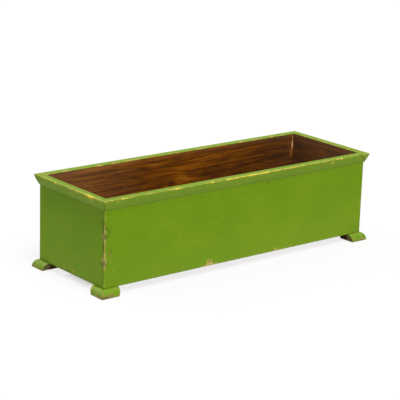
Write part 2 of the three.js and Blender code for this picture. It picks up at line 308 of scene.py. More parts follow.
def paint_layers(tree, along, undercoat, roughness):
    """Brushed eggshell paint on pine. Low gloss, faint brush lines along the board, and colder
    and warmer green where the coat is thicker or thinner, faded on what faces up. Where the
    attribute "wear" is high the coat is thinned, then rubbed through to a yellow undercoat, and
    further to brown wood. "dust" is what pales the coat: dust, and painted light below
    the rim, low on the walls and on the crowns of the end feet. "grime" is the dirt in
    the seams, and painted shade under the rim and on the feet."""
    undercoat_colours, wood_from = undercoat
    place = node(tree, "ShaderNodeTexCoord").outputs["Object"]
    wear, grime, dust = (
        node(tree, "ShaderNodeAttribute", attribute_name=name).outputs["Fac"]
        for name in ("wear", "grime", "dust")
    )
    clouds, specks, blotches = (
        node(tree, "ShaderNodeTexNoise", {
            "Vector": place, "Scale": 1 / (size * MM), "Detail": detail, "Roughness": rough,
        })
        for size, detail, rough in (COAT_CLOUDS, SPECKS, BLOTCHES)
    )

    # The green coat, cloudy and brushed along the board.
    green = ramp(node(tree, "ShaderNodeValToRGB", {"Fac": clouds}), GREEN_COAT)
    brush_place = node(tree, "ShaderNodeMapping", {
        "Vector": place, "Scale": grain_scale(along, *BRUSH_LINE),
    })
    brush = node(tree, "ShaderNodeTexNoise", {
        "Vector": brush_place, "Scale": 1.0, "Detail": 3.0, "Roughness": 0.6,
    })
    brush_tone = node(tree, "ShaderNodeMapRange", {
        "Value": brush, "From Min": 0.25, "From Max": 0.75, "To Min": 0.93, "To Max": 1.07,
    })
    brushed = node(tree, "ShaderNodeVectorMath", {0: green, "Scale": brush_tone}, operation="SCALE")

    # Splashed rain and dust, with painted light below the rim, low on the walls and on the end
    # feet's crowns, and sun on what faces up.
    up = node(tree, "ShaderNodeSeparateXYZ", {
        "Vector": node(tree, "ShaderNodeNewGeometry").outputs["Normal"],
    }).outputs["Z"]
    sun = node(tree, "ShaderNodeMapRange", {"Value": up, "From Min": 0.3, "To Max": 0.25})
    faded_and_lit = node(tree, "ShaderNodeMath", {0: dust, 1: sun}, operation="ADD")

    # How far the coat is rubbed, made ragged by the specks and blotches: from where it starts
    # to where it is full, and how much it then covers.
    ragged = node(tree, "ShaderNodeMath", {0: specks, 1: blotches}, operation="ADD")
    ragged = node(tree, "ShaderNodeMath", {0: ragged, 1: -1.0}, operation="ADD")
    rubbed = node(tree, "ShaderNodeMath", {0: ragged, 1: 1.15, 2: wear}, operation="MULTIPLY_ADD")
    thinned, to_fringe, to_undercoat, to_wood = (
        node(tree, "ShaderNodeMapRange", {
            "Value": rubbed, "From Min": start, "From Max": full, "To Max": cover,
        })
        for start, full, cover in (
            (0.2, 0.5, 0.55), (0.47, 0.53, 0.8), (0.53, 0.62, 1.0),
            (wood_from, wood_from + 0.2, 1.0),
        )
    )
    yellow = ramp(node(tree, "ShaderNodeValToRGB", {"Fac": blotches}), undercoat_colours)
    wood = ramp(node(tree, "ShaderNodeValToRGB", {"Fac": brush}), WEATHERED_WOOD)
    # Dirt and painted shade, made ragged by the specks.
    ragged_dirt_and_shade = node(tree, "ShaderNodeMapRange", {
        "Value": specks, "From Min": 0.35, "From Max": 0.6, "To Min": 0.5, "To Max": 1.15,
    })
    dirt_and_shade = node(tree, "ShaderNodeMath", {0: grime, 1: ragged_dirt_and_shade}, operation="MULTIPLY")
    colour = brushed
    for cover, over in (
        (faded_and_lit, linear(FADED_AND_LIT_GREEN)), (thinned, linear(THIN_GREEN)),
        (to_fringe, linear(WORN_FRINGE)), (to_undercoat, yellow), (to_wood, wood),
        (dirt_and_shade, linear(DIRT_AND_SHADE)),
    ):
        colour = node(tree, "ShaderNodeMix", {
            "Factor": cover, "A": colour, "B": over,
        }, data_type="RGBA")

    matt = node(tree, "ShaderNodeMath", {0: to_undercoat, 1: dirt_and_shade}, operation="MAXIMUM")
    sheen = node(tree, "ShaderNodeMapRange", {
        "Value": matt, "To Min": roughness, "To Max": RUBBED_ROUGHNESS,
    })
    relief = node(tree, "ShaderNodeMath", {0: brush, 1: to_undercoat}, operation="SUBTRACT")
    return colour, sheen, relief


def stain_layers(tree):
    """Pine under a brown stain and a worn coat of wax. The stain is cloudy, dark where the wood
    is soft and orange on the hard rings, in streaks along the grain that part round the knots.
    The attribute "grain" holds the place along, across and through the board, in mm; "tone" is
    where the stain took more lightly, "shade" is dark damp on the floor and painted shade
    on the inner walls, "haze" is grey dust, and "bare" is wood that the stain has left."""
    grain = node(tree, "ShaderNodeAttribute", attribute_name="grain").outputs["Vector"]
    knot, tone, shade, haze, bare = (
        node(tree, "ShaderNodeAttribute", attribute_name=name).outputs["Fac"]
        for name in ("knot", "tone", "shade", "haze", "bare")
    )
    clouds, rings, fibres = (
        node(tree, "ShaderNodeTexNoise", {
            "Vector": node(tree, "ShaderNodeMapping", {
                "Vector": grain, "Scale": [1 / size for size in sizes],
            }),
            "Scale": 1.0, "Detail": detail, "Roughness": rough,
        })
        for sizes, detail, rough in (STAIN_CLOUDS, GROWTH_RINGS, FIBRES)
    )
    mixed = node(tree, "ShaderNodeMath", {0: rings, 1: 0.6, 2: tone}, operation="MULTIPLY_ADD")
    mixed = node(tree, "ShaderNodeMath", {0: clouds, 1: 0.4, 2: mixed}, operation="MULTIPLY_ADD")
    stained = ramp(node(tree, "ShaderNodeValToRGB", {"Fac": mixed}), STAIN_COLOURS)
    fibre_tone = node(tree, "ShaderNodeMapRange", {
        "Value": fibres, "From Min": 0.3, "From Max": 0.7, "To Min": 0.76, "To Max": 1.24,
    })
    colour = node(tree, "ShaderNodeVectorMath", {
        0: stained, "Scale": fibre_tone,
    }, operation="SCALE")
    worn = node(tree, "ShaderNodeMath", {0: fibres, 1: 0.5, 2: bare}, operation="MULTIPLY_ADD")
    worn = node(tree, "ShaderNodeMapRange", {"Value": worn, "From Min": 0.6, "From Max": 0.9})
    for cover, over in (
        (knot, KNOT_COLOUR), (shade, DAMP_AND_SHADE), (haze, GREY_DUST), (worn, BARE_PINE),
    ):
        colour = node(tree, "ShaderNodeMix", {
            "Factor": cover, "A": colour, "B": linear(over),
        }, data_type="RGBA")
    roughness = node(tree, "ShaderNodeMapRange", {
        "Value": fibres, "From Min": 0.3, "From Max": 0.7, "To Min": 0.55, "To Max": 0.7,
    })
    return colour, roughness, fibres


def painted_wood(name, along, undercoat, gloss, roughness):
    """Paint on a moulding."""
    made, tree = blank_material(name)
    layers = paint_layers(tree, along, undercoat, roughness)
    finish_material(tree, *layers, PAINT_RELIEF, {"Specular IOR Level": gloss})
    return made


def painted_and_stained(name, along):
    """A wall board: painted outside and on top, stained inside. The paint laps raggedly over
    the inner edge, where the attribute "stain" is between 0 and 1."""
    made, tree = blank_material(name)
    paint = paint_layers(tree, along, DULL_UNDERCOAT, EGGSHELL_ROUGHNESS)
    stain = stain_layers(tree)
    size, detail, rough = LAP_WANDER
    wander = node(tree, "ShaderNodeTexNoise", {
        "Vector": node(tree, "ShaderNodeTexCoord").outputs["Object"],
        "Scale": 1 / (size * MM), "Detail": detail, "Roughness": rough,
    })
    inside = node(tree, "ShaderNodeAttribute", attribute_name="stain").outputs["Fac"]
    lap = node(tree, "ShaderNodeMath", {0: inside, 1: wander}, operation="ADD")
    lap = node(tree, "ShaderNodeMapRange", {"Value": lap, "From Min": 0.95, "From Max": 1.05})
    layers = [
        node(tree, "ShaderNodeMix", {"Factor": lap, "A": outer, "B": inner}, data_type=kind)
        for outer, inner, kind in zip(paint, stain, ("RGBA", "FLOAT", "FLOAT"))
    ]
    finish_material(tree, *layers, PAINT_RELIEF, {"Specular IOR Level": LOW_GLOSS})
    return made


def stained_wood(name):
    """The floor board, stained on every face."""
    made, tree = blank_material(name)
    finish_material(tree, *stain_layers(tree), STAIN_RELIEF, {"Specular IOR Level": LOW_GLOSS})
    return made


def sawn_wood(name):
    """Pine glue blocks as they left the saw: dull brown, darkened as painted shade for their place
    under the box, with saw marks across them.
    """
    made, tree = blank_material(name)
    place = node(tree, "ShaderNodeTexCoord").outputs["Object"]
    streak_place = node(tree, "ShaderNodeMapping", {
        "Vector": place, "Scale": grain_scale(0, *SAW_STREAK),
    })
    streaks = node(tree, "ShaderNodeTexNoise", {
        "Vector": streak_place, "Scale": 1.0, "Detail": 4.0,
    })
    colour = ramp(node(tree, "ShaderNodeValToRGB", {"Fac": streaks}), SAWN_COLOURS_IN_SHADE)
    saw_place = node(tree, "ShaderNodeMapping", {
        "Vector": place, "Rotation": (0, 0, math.radians(SAW_MARK_TURN)),
    })
    # A wave of this scale has its bands a saw mark apart.
    saw = node(tree, "ShaderNodeTexWave", {
        "Vector": saw_place, "Scale": 1 / (math.pi * SAW_MARK * MM), "Distortion": 1.5,
        "Detail": 2.0,
    })
    relief = node(tree, "ShaderNodeMath", {0: saw, 1: streaks}, operation="ADD")
    finish_material(tree, colour, 0.8, relief, SAW_RELIEF, {"Specular IOR Level": 0.0})
    return made


def steel(name):
    """Bright steel nails and screws gone dull: grey metal with brown specks of rust."""
    made, tree = blank_material(name)
    rust = node(tree, "ShaderNodeTexNoise", {
        "Vector": node(tree, "ShaderNodeTexCoord").outputs["Object"],
        "Scale": 1 / (RUST_SPECK * MM), "Detail": 4.0,
    })
    spots = node(tree, "ShaderNodeMapRange", {"Value": rust, "From Min": 0.5, "From Max": 0.7})
    colour = node(tree, "ShaderNodeMix", {
        "Factor": spots, "A": linear(GREY_STEEL), "B": linear(RUST),
    }, data_type="RGBA")
    roughness = node(tree, "ShaderNodeMapRange", {"Value": spots, "To Min": 0.35, "To Max": 0.75})
    finish_material(tree, colour, roughness, rust, RUST_RELIEF, {"Metallic": 1.0})
    return made


RIM_FINISH = BRIGHT_UNDERCOAT, LOW_GLOSS, EGGSHELL_ROUGHNESS
FOOT_FINISH = OLIVE_UNDERCOAT, FOOT_GLOSS, FOOT_ROUGHNESS
PAINT_LONG = painted_wood("green_eggshell_paint_long", 0, *RIM_FINISH)
PAINT_END = painted_wood("green_eggshell_paint_end", 1, *RIM_FINISH)
FOOT_LONG = painted_wood("green_satin_paint_long", 0, *FOOT_FINISH)
FOOT_END = painted_wood("green_satin_paint_end", 1, *FOOT_FINISH)
BOARD_LONG = painted_and_stained("green_paint_and_stained_pine_long", 0)
BOARD_END = painted_and_stained("green_paint_and_stained_pine_end", 1)
STAINED_PINE = stained_wood("stained_pine")
SAWN_PINE = sawn_wood("sawn_pine")
DULL_STEEL = steel("dull_steel")


# ---- Wear, dirt, painted shade and painted light, by place ----

# How far each edge is rubbed, from 0.3, hardly, to 1, through the yellow: (place in mm, rub).
NEAR_CORNER_RUB = (
    (18, 0.35), (50, 0.3), (58, 0.55), (70, 1.35), (78, 1.35), (90, 0.65), (96, 0.85), (112, 0.85),
    (120, 0.6), (132, 1.3), (140, 1.3), (148, 0.55), (153, 0.85), (158, 0.4), (189, 0.4),
)
OTHER_CORNER_RUB = (
    (18, 0.5), (46, 0.5), (62, 0.9), (82, 0.75), (96, 0.5), (136, 0.75), (150, 0.6), (189, 0.4),
)
FRONT_RIGHT_CORNER_RUB = ((149.9, 0.62), (150, 0.277), (180, 0.2))
FRONT_RIM_RUB = (
    (-381, 0.45), (-355, 0.5), (-340, 0.6), (-305, 0.65), (-292, 0.4), (-206, 0.4), (-196, 0.95),
    (-180, 0.95), (-172, 0.4), (-125, 0.3), (-105, 0.75), (-88, 0.95), (-68, 0.6), (-45, 0.95),
    (-15, 1.05), (10, 1.15), (48, 1.15), (60, 1.0), (80, 0.85), (108, 0.8), (140, 0.95), (160, 0.5),
    (200, 0.4), (232, 0.45), (236, 0.95), (244, 0.95), (249, 0.5), (256, 0.5), (260, 1.0),
    (267, 0.9), (270, 0.5), (274, 0.95), (280, 0.95), (284, 0.5), (288, 0.9), (294, 0.9), (298, 0.5),
    (381, 0.45),
)
LEFT_RIM_RUB = (
    (-131, 0.4), (-110, 0.45), (-94, 0.62), (-82, 0.7), (-70, 0.75), (-58, 0.5), (-44, 0.42),
    (-12, 0.43), (0, 0.4), (60, 0.42), (131, 0.4),
)
OTHER_RIM_RUB = (
    (-381, 0.45), (-300, 0.35), (-240, 0.6), (-160, 0.4), (-60, 0.7), (0, 0.4), (60, 0.4),
    (130, 0.65), (220, 0.45), (300, 0.6), (381, 0.4),
)
FRONT_BOTTOM_RUB = (
    (-371, 0.2), (-240, 0.25), (-180, 0.45), (-120, 0.45), (-105, 0.9), (-70, 0.9), (-60, 0.45),
    (20, 0.4), (90, 0.5), (104, 0.75), (130, 0.5), (160, 0.3), (371, 0.3),
)
CORNER_RUB_REACH = 5.0
CORNER_RUB_STRENGTH = 1.1
OTHER_CORNER_SHIFT = 9, -6  # up at the right corners, and at the left, so that no two match
BOTTOM_RUB_REACH = 6.0
END_BOTTOM_STRETCH = 1.6  # the same rub on an end board, drawn in and fainter
END_BOTTOM_RUB = 0.3
# Each rim's rub: the axis that it runs along, how far it is drawn in, its reach in mm, the
# strength of the thin line along the edge, and how far it is rubbed by place.
RIM_RUB = {
    "front": (0, 1, 5.5, 0.66, FRONT_RIM_RUB),
    "right": (1, 3, 5.5, 0.66, OTHER_RIM_RUB),
    "back": (0, 1, 5.5, 0.66, OTHER_RIM_RUB),
    "left": (1, 1, 12.65, 0.42, LEFT_RIM_RUB),
}

# Noise that breaks up dirt and rub: size in mm, seed and contrast.
DIRT_PATCHES = 14, 8, 1.6
FOOT_PATCHES = 9, 12, 1.5

# Marks that fade away from an edge: reach in mm, and strength.
RIM_LINE_REACH = 2.4
RIM_MITRE_RUB = 3.0, 0.42
RIM_SEAM_DIRT = 1.0, 0.75
SOILED_CORNER_DIRT = 2.6, 0.7
PALE_END_EDGE = 3.0, 0.85
# A faint painted shade line just under the rim.
UNDER_RIM_SHADE_LINE = 2.0, 0.05
RIGHT_CORNER_DIRT = 4.5, 0.3
# Painted light just below the rim, offsetting the rim's shadow.
BELOW_RIM_PAINTED_LIGHT = 3.0, 0.2
INNER_EDGE_RUB = 2.6, 0.62
FAR_INNER_EDGE_RUB = 9.0, 0.5
SPLASHED_STAIN = 14, 0.12
PALE_STAIN = 16, 0.05
HOLE_DAMP = 22, 0.35
FOOT_CORNER_RUB = 5.0, 0.95
LEG_END_RUB = 3.5, 0.5
# Dark dirt on the sawn leg ends, which also stands in as painted shade under the box.
LEG_END_DIRT_AND_SHADE = 0.6, 0.9
FOOT_TOP_DIRT = 1.5, 0.2
# Painted shade, darker low on the end mouldings.
END_FOOT_PAINTED_SHADE = 13, 0.2
# A painted highlight on the upper curve of the end mouldings, and its height.
END_FOOT_PAINTED_HIGHLIGHT = 4.5, 0.2
END_FOOT_HIGHLIGHT_HEIGHT = 13  # the height of the painted highlight on it
FOOT_CORNER_RUBBED = 16, 10  # the heights where the corner's rub starts and is full
NEAR_FOOT_RUB = 1.05
OTHER_FOOT_RUB = 0.75
NEAR_LINE_MIDDLE = 3.2  # mm from the near corner, on the end board
NEAR_LINE_REACH = 3.4

# Dirt, dust, damp, painted shade and painted light that cover more: strength, from 0 to 1. CLEAN is
# what the top face has less.
# Painted shade below the rim on the end boards:
END_RIM_SHADE = 0.13
END_RIM_SHADE_FROM = 67.5  # mm below the rim, and where it is full
END_RIM_SHADE_FULL = 22.5
# Paler towards the bottom of the walls: dust, and painted light where the floor's light falls.
WALL_DUST_AND_FLOOR_LIGHT = 0.1
WALL_TOP_CLEAN = 0.16
RIM_DUST = 0.18
RIM_TOP_CLEAN = 0.12
FOOT_DUST = 0.08
FOOT_CLEAN = 0.04
# Dirt behind the feet, which also stands in as painted shade under the box.
BEHIND_FOOT_DIRT_AND_SHADE = 0.9
FLOOR_DAMP = 0.25
FLOOR_HAZE = 0.1
TOP_SKIN = 0.3  # mm, what counts as the top face
PALE_END_REACH = 3  # mm, of the pale end at the rim's lower edge
PALE_END_DUST = ((0, 0), (4, 0.34), (12, 0.1))  # by mm inside it

# Single knocks: place in mm, reach in mm, and rub.
KNOCKS = (
    ((-350, -122, 146), 7, 0.5), ((-340, -122, 107), 5, 0.55), ((-357, -122, 93), 7, 0.6),
    ((-88, -122, 24), 13, 0.9), ((104, -122, 24), 7, 0.6), ((75, -122, 184), 3, 0.5),
    ((-371.5, 24, 27), 8, 0.6), ((-371.5, 4, 34), 7, 0.55), ((-371.5, -11, 27), 7, 0.7),
    ((-371.5, -118, 132), 8, 0.75), ((-371.5, -117, 80), 9, 0.8), ((371.5, 60, 24), 10, 0.7),
    ((180, 122, 26), 12, 0.75), ((-250, 122, 24), 9, 0.7), ((371.5, -80, 26), 7, 0.6),
)
RIM_KNOCKS = (
    ((262, -130, 203), 4, 0.85), ((269, -131, 204), 3.5, 0.8), ((243, -131, 205), 3.5, 0.75),
    ((-382, -92, 206), 5, 0.85),
    ((-380, -84, 203), 3.5, 0.7), ((-60, -133, 206), 4, 0.7), ((-344, -133, 206), 5, 0.75),
    ((-383, 96, 207), 5, 0.55), ((120, 133, 206), 7, 0.8), ((383, 40, 206), 7, 0.8),
)
# Dark dirt rubbed in beside the near corner: height and depth, then single spots with their
# place in mm, reach in mm, and depth.
NEAR_CORNER_DIRT = (
    (18, 0.45), (50, 0.35), (64, 0.9), (90, 0.7), (105, 1.0), (150, 1.0), (168, 0.8), (189, 0.6),
)
SMUDGES = (
    ((-371.5, -114, 162), 9, 0.5), ((-366, -122, 150), 4.5, 0.7), ((-359, -122, 141), 4.5, 0.6),
    ((-352, -122, 147), 3.5, 0.6), ((-371.5, -117, 72), 9, 0.6), ((-371.5, -118, 131), 9, 0.7),
    ((-357, -122, 96), 7, 0.5), ((-366, -122, 133), 5, 0.6), ((75, -122, 184), 5, 0.6),
)


def at_spots(points, spots):
    """The strongest of the spots at each point."""
    strongest = np.zeros(len(points))
    for place, reach, strength in spots:
        distance = np.linalg.norm(points - np.array(place), axis=1)
        strongest = np.maximum(strongest, strength * np.sqrt(near(distance, reach)))
    return strongest


def wall_wear(points):
    """How far the paint on a wall is rubbed at each point."""
    x, y, z = points.T
    shifted = z + np.where(x > 0, *OTHER_CORNER_SHIFT)
    corner_rub = CORNER_RUB_STRENGTH * np.where(
        (x < 0) & (y < 0), profile(z, NEAR_CORNER_RUB), profile(shifted, OTHER_CORNER_RUB),
    )
    front_right_rub = profile(z, FRONT_RIGHT_CORNER_RUB)
    corner_rub = np.where((x > 0) & (y < 0), front_right_rub, corner_rub)
    on_long = abs(abs(y) - HALF_WIDTH) < THICKNESS
    along = np.where(on_long, x, END_BOTTOM_STRETCH * y)
    bottom_rub = profile(np.where(y < 0, along, -along), FRONT_BOTTOM_RUB)
    bottom_rub *= np.where(on_long, 1.0, END_BOTTOM_RUB)
    return np.maximum.reduce([
        near(from_corner(points), CORNER_RUB_REACH, corner_rub),
        near(z - BODY_BOTTOM, BOTTOM_RUB_REACH, bottom_rub),
        at_spots(points, KNOCKS),
    ])


def wall_grime(points):
    """How dirty a wall is at each point, with painted shade under the rim."""
    x, y, z = points.T
    broken = patches(points, *DIRT_PATCHES)
    # A faint painted shade line just below the rim.
    shade_under_rim = near(RIM_BOTTOM - z, *UNDER_RIM_SHADE_LINE)
    on_end = abs(abs(x) - HALF_LENGTH) < 1
    low_edge = near(z - BODY_BOTTOM, np.where(on_end, 5.0, 2.0), 0.35 + 0.4 * broken)
    # Painted shade: the end boards are a little darker below the rim.
    below = RIM_BOTTOM - z
    end_rim_shade = END_RIM_SHADE * rise(below, END_RIM_SHADE_FROM, END_RIM_SHADE_FULL) * on_end
    right_corner = near(from_corner(points), *RIGHT_CORNER_DIRT) * broken * (x > 0) * (z < 160)
    # A dark line on the end board, beside the near corner.
    from_line = y + HALF_WIDTH - NEAR_LINE_MIDDLE
    line = near(from_line, NEAR_LINE_REACH, profile(z, NEAR_CORNER_DIRT))
    line *= (0.6 + 0.4 * broken) * (x < -HALF_LENGTH + 1)
    return np.maximum.reduce([
        shade_under_rim, low_edge, end_rim_shade, right_corner, line, at_spots(points, SMUDGES),
    ])


def on_soiled_corner(points):
    """Whether each point is at the near corner and below the top of the rim."""
    x, y, z = points.T
    return (x < 0) & (y < 0) & (z < BODY_TOP - 2)


def rim_wear(points, wall):
    """How far the paint on a rim is rubbed at each point, most along its top outer edge."""
    x, y, z = points.T
    out = np.minimum(HALF_LENGTH + RIM_FLARE - abs(x), HALF_WIDTH + RIM_FLARE - abs(y))
    edge = np.maximum(out, 0) + (BODY_TOP - z)
    axis, drawn_in, reach, line, stops = RIM_RUB[wall]
    return np.maximum.reduce([
        near(edge, reach, profile(drawn_in * points[:, axis], stops)),
        near(edge, RIM_LINE_REACH, line),
        near(from_mitre(points), *RIM_MITRE_RUB) * ~on_soiled_corner(points),
        at_spots(points, RIM_KNOCKS),
    ])


def foot_wear(points, blotch):
    """How far the paint on a foot is rubbed, by the ground and at its corner, and most of all
    on the near foot."""
    x, y, z = points.T
    ground = (0.45 + 0.45 * blotch) * rise(z, 5 + 6 * blotch, 6 * blotch)
    corner = near(from_mitre(points), *FOOT_CORNER_RUB) * rise(z, *FOOT_CORNER_RUBBED)
    share = np.where((x < 0) & (y < 0), NEAR_FOOT_RUB, OTHER_FOOT_RUB)
    return np.maximum(ground, corner) * share


# ---- Meshes ----


def new_piece(name, points_mm, faces, finish, sharp_angle=40):
    """A piece from its points in millimetres, smooth but for its sharp edges."""
    mesh = bpy.data.meshes.new(name)
    mesh.from_pydata((np.asarray(points_mm) * MM).tolist(), [], faces)
    mesh.polygons.foreach_set("use_smooth", [True] * len(mesh.polygons))
    mesh.set_sharp_from_angle(angle=math.radians(sharp_angle))
    mesh.materials.append(finish)
    mesh.update()
    piece = bpy.data.objects.new(name, mesh)
    bpy.context.scene.collection.objects.link(piece)
    return piece


def set_attributes(piece, **named):
    """Gives the piece's points their values: under each name a number for all of them, or a
    number or a vector for each."""
    for name, values in named.items():
        values = np.asarray(values, dtype=np.float32)
        if values.ndim == 0:
            values = np.full(len(piece.data.vertices), values)
        kind, field = ("FLOAT_VECTOR", "vector") if values.ndim == 2 else ("FLOAT", "value")
        attribute = piece.data.attributes.new(name, kind, "POINT")
        attribute.data.foreach_set(field, values.ravel())


def seat(piece, slot, *nodes):
    """The piece stands for those CAD nodes and rides on the one body."""
    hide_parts(*nodes)
    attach(piece, "root")


def grid_rows(low, high, extra=()):
    """Rows across a board: close together at its edges, evenly spaced between, and at extra."""
    half = (high - low) / 2
    edge = [row for row in EDGE_ROWS if row < half - 0.5]
    inner = high - low - 2 * edge[-1]
    count = max(1, round(inner / FACE_STEP))
    middle = [low + edge[-1] + inner * i / count for i in range(1, count)]
    middle = [row for row in middle if all(abs(row - more) > 1 for more in extra)]
    middle = sorted([*middle, *extra])
    return [low + row for row in edge] + middle + [high - row for row in reversed(edge)]


def grid_box(rows):
    """Points and outward faces of a closed box, whose faces are divided at the rows."""
    index, points, faces = {}, [], []
    counts = [len(r) - 1 for r in rows]
    for axis in range(3):
        u, v = (axis + 1) % 3, (axis + 2) % 3
        for side in (0, counts[axis]):
            for a in range(counts[u]):
                for b in range(counts[v]):
                    ring = [(a, b), (a + 1, b), (a + 1, b + 1), (a, b + 1)]
                    if side == 0:
                        ring.reverse()
                    face = []
                    for p, q in ring:
                        key = [0, 0, 0]
                        key[axis], key[u], key[v] = side, p, q
                        key = tuple(key)
                        if key not in index:
                            index[key] = len(points)
                            points.append([rows[k][key[k]] for k in range(3)])
                        face.append(index[key])
                    faces.append(face)
    return np.array(points, float), faces


def round_edge(points, axis, corner, inward, radius):
    """Rounds the edge that runs along axis through corner. Inward points into the board."""
    u, v = [k for k in range(3) if k != axis]
    du = radius - (points[:, u] - corner[u]) * inward[u]
    dv = radius - (points[:, v] - corner[v]) * inward[v]
    inside = (du > 0) & (dv > 0)
    share = np.ones(len(points))
    share[inside] = np.maximum(du, dv)[inside] / np.hypot(du, dv)[inside]
    for k, d in ((u, du), (v, dv)):
        moved = corner[k] + inward[k] * (radius - d * share)
        points[inside, k] = moved[inside]


def planed_board(low, high, rounding, extra_rows=()):
    """A board whose edges are rounded one by one, with extra rows along its length. rounding
    gives the radius of the edge with the given axis and the signs of its two sides."""
    along = 0 if high[0] - low[0] > high[1] - low[1] else 1
    rows = [grid_rows(low[k], high[k], extra_rows if k == along else ()) for k in range(3)]
    points, faces = grid_box(rows)
    for axis in range(3):
        for su in (-1, 1):
            for sv in (-1, 1):
                signs = [0, 0, 0]
                u, v = [k for k in range(3) if k != axis]
                signs[u], signs[v] = su, sv
                corner = [high[k] if signs[k] > 0 else low[k] for k in range(3)]
                inward = [-s for s in signs]
                round_edge(points, axis, corner, inward, rounding(axis, signs))
    return points, faces


def wall_rounding(thin, outward):
    """Radii for a wall whose thin axis is thin and whose outer face points outward along it."""
    def radius(axis, signs):
        outer = signs[thin] == outward
        if axis == 2:
            if thin == 0:
                return CLOSED_JOINT_ROUND
            return CORNER_ROUND if outer else JOINT_ROUND
        if signs[2] < 0 and (axis != thin):
            return BOTTOM_ROUND if outer else JOINT_ROUND
        if signs[2] > 0 and axis != thin:
            return JOINT_ROUND if outer else INNER_TOP_ROUND
        return JOINT_ROUND
    return radius


# Knots on the inner faces: board, place along it and above the ground, and radius, in mm.
KNOTS = {
    "back_board": ((-16, 140, 10), (-262, 84, 6), (238, 66, 8)),
    "front_board": ((120, 150, 8), (-150, 92, 6)),
    "left_end_board": ((30, 96, 7),),
    "right_end_board": ((-40, 78, 6),),
    "floor_board": ((-180, 30, 8), (215, -52, 7)),
}
KNOT_SWELL = 4.5, 2.6  # half length and height of the grain's swelling, in knot radii
KNOT_STRETCH = 1.5  # how much longer a knot is than high
GRAIN_WAVE = 7  # how far the grain wanders across a board, and over what height
GRAIN_WAVE_SIZE = 60
# Where the stain took more lightly, or where it is darker: board, then place along it, height,
# half length and half height in mm, and tone.
STREAKS = {
    "back_board": (
        (-67, 189, 22, 4, 0.12), (193, 189, 80, 5, 0.10), (25, 171, 48, 5, 0.12),
        (14, 150, 20, 12, 0.13), (-262, 165, 60, 30, 0.04), (-120, 150, 60, 8, -0.05),
        (90, 120, 50, 12, 0.05), (-330, 185, 40, 10, 0.05), (355, 163, 4, 8, 0.26),
        (20, 140, 130, 60, -0.025), (347, 190, 7, 14, 0.07),
    ),
    "front_board": ((-90, 150, 70, 8, 0.08), (160, 90, 60, 10, 0.07), (-250, 60, 60, 8, -0.05)),
    "left_end_board": ((-40, 140, 40, 10, 0.06), (50, 60, 30, 12, -0.05)),
    "right_end_board": (
        (40, 150, 50, 8, 0.05), (-60, 175, 40, 8, 0.04), (96, 186, 14, 11, -0.07),
        (6, 183, 16, 13, 0.08), (52, 172, 22, 7, 0.05),
    ),
    "floor_board": ((60, 20, 90, 14, 0.06), (-200, -40, 80, 12, -0.05)),
}
# The bare strip at the right end of the back board's inner face: its rows and, by height, how
# bare it is.
BARE_STRIP_MIDDLE = 358
BARE_STRIP_ROWS = (354, 356.1, 357.1, 358, 358.9, 360, 361.5)
BARE_STRIP_REACH = 3.2
BARE_STRIP_RUB = (
    (152, 0.0), (158, 0.3), (170, 0.35), (174, 0.6), (178, 1.0), (183, 1.2), (186, 1.1),
    (191, 0.75), (196, 0.55), (204, 0.55), (208, 0.4), (211, 0),
)
# The painted shade is fainter round it: the middle, the reach and how much, and from what height.
LESS_SHADE_MIDDLE = 355
LESS_SHADE = 6, 0.7
LESS_SHADE_BOTTOM = 148
# Painted shade on the inner faces, darker towards the back right inner corner, and grey dust, by
# place along the board.
SHADE = {
    "back_board": ((60, 0), (120, 0.1), (280, 0.42), (345, 0.52)),
    "right_end_board": ((-90, 0.22), (0, 0.28), (110, 0.42)),
}
HAZE = {
    "back_board": ((-371, 0.26), (-240, 0.14), (-80, 0.0), (240, 0.0), (371, 0.06)),
    "right_end_board": ((-110, 0.26), (0, 0.16), (110, 0.14)),
}
NO_SHADE = ((0, 0.0),)
SLIGHT_HAZE = ((0, 0.03),)


def swell(a, b, place, height, half_length, half_height):
    """1 at a place on a board, dying away round it."""
    return np.exp(-((a - place) / half_length) ** 2 - ((b - height) / half_height) ** 2)


def set_grain(piece, points, along, across, name):
    """The place along, across and through the wood at each point, parting round the knots."""
    a, b, c = points[:, [along, across, 3 - along - across]].T
    seed = sum(map(ord, name)) % 97
    waves = slow_noise(np.column_stack([a / 3, b, c]), GRAIN_WAVE_SIZE, seed)
    bent = b + GRAIN_WAVE * waves
    knot = np.zeros(len(points))
    for place, height, size in KNOTS[name]:
        bulge = swell(a, b, place, height, *(size * radii for radii in KNOT_SWELL))
        bent -= 1.6 * size * np.tanh((b - height) / (0.6 * size)) * bulge
        distance = np.hypot((a - place) / KNOT_STRETCH, b - height)
        knot = np.maximum(knot, 0.9 * near(distance, size) ** 0.7)
    # Far apart in the noise, so that no two boards match.
    set_attributes(piece, grain=np.column_stack([a + 131 * seed, bent + 17 * seed, c]), knot=knot)


def set_stain(piece, points, along, across, name, shade, haze):
    """The attributes of a stained board."""
    set_grain(piece, points, along, across, name)
    tone = np.zeros(len(points))
    for *spot, amount in STREAKS[name]:
        tone += amount * swell(points[:, along], points[:, across], *spot)
    if across == 2:
        tone += near(BODY_TOP - points[:, 2], *PALE_STAIN)
    set_attributes(piece, tone=tone, shade=shade, haze=haze)


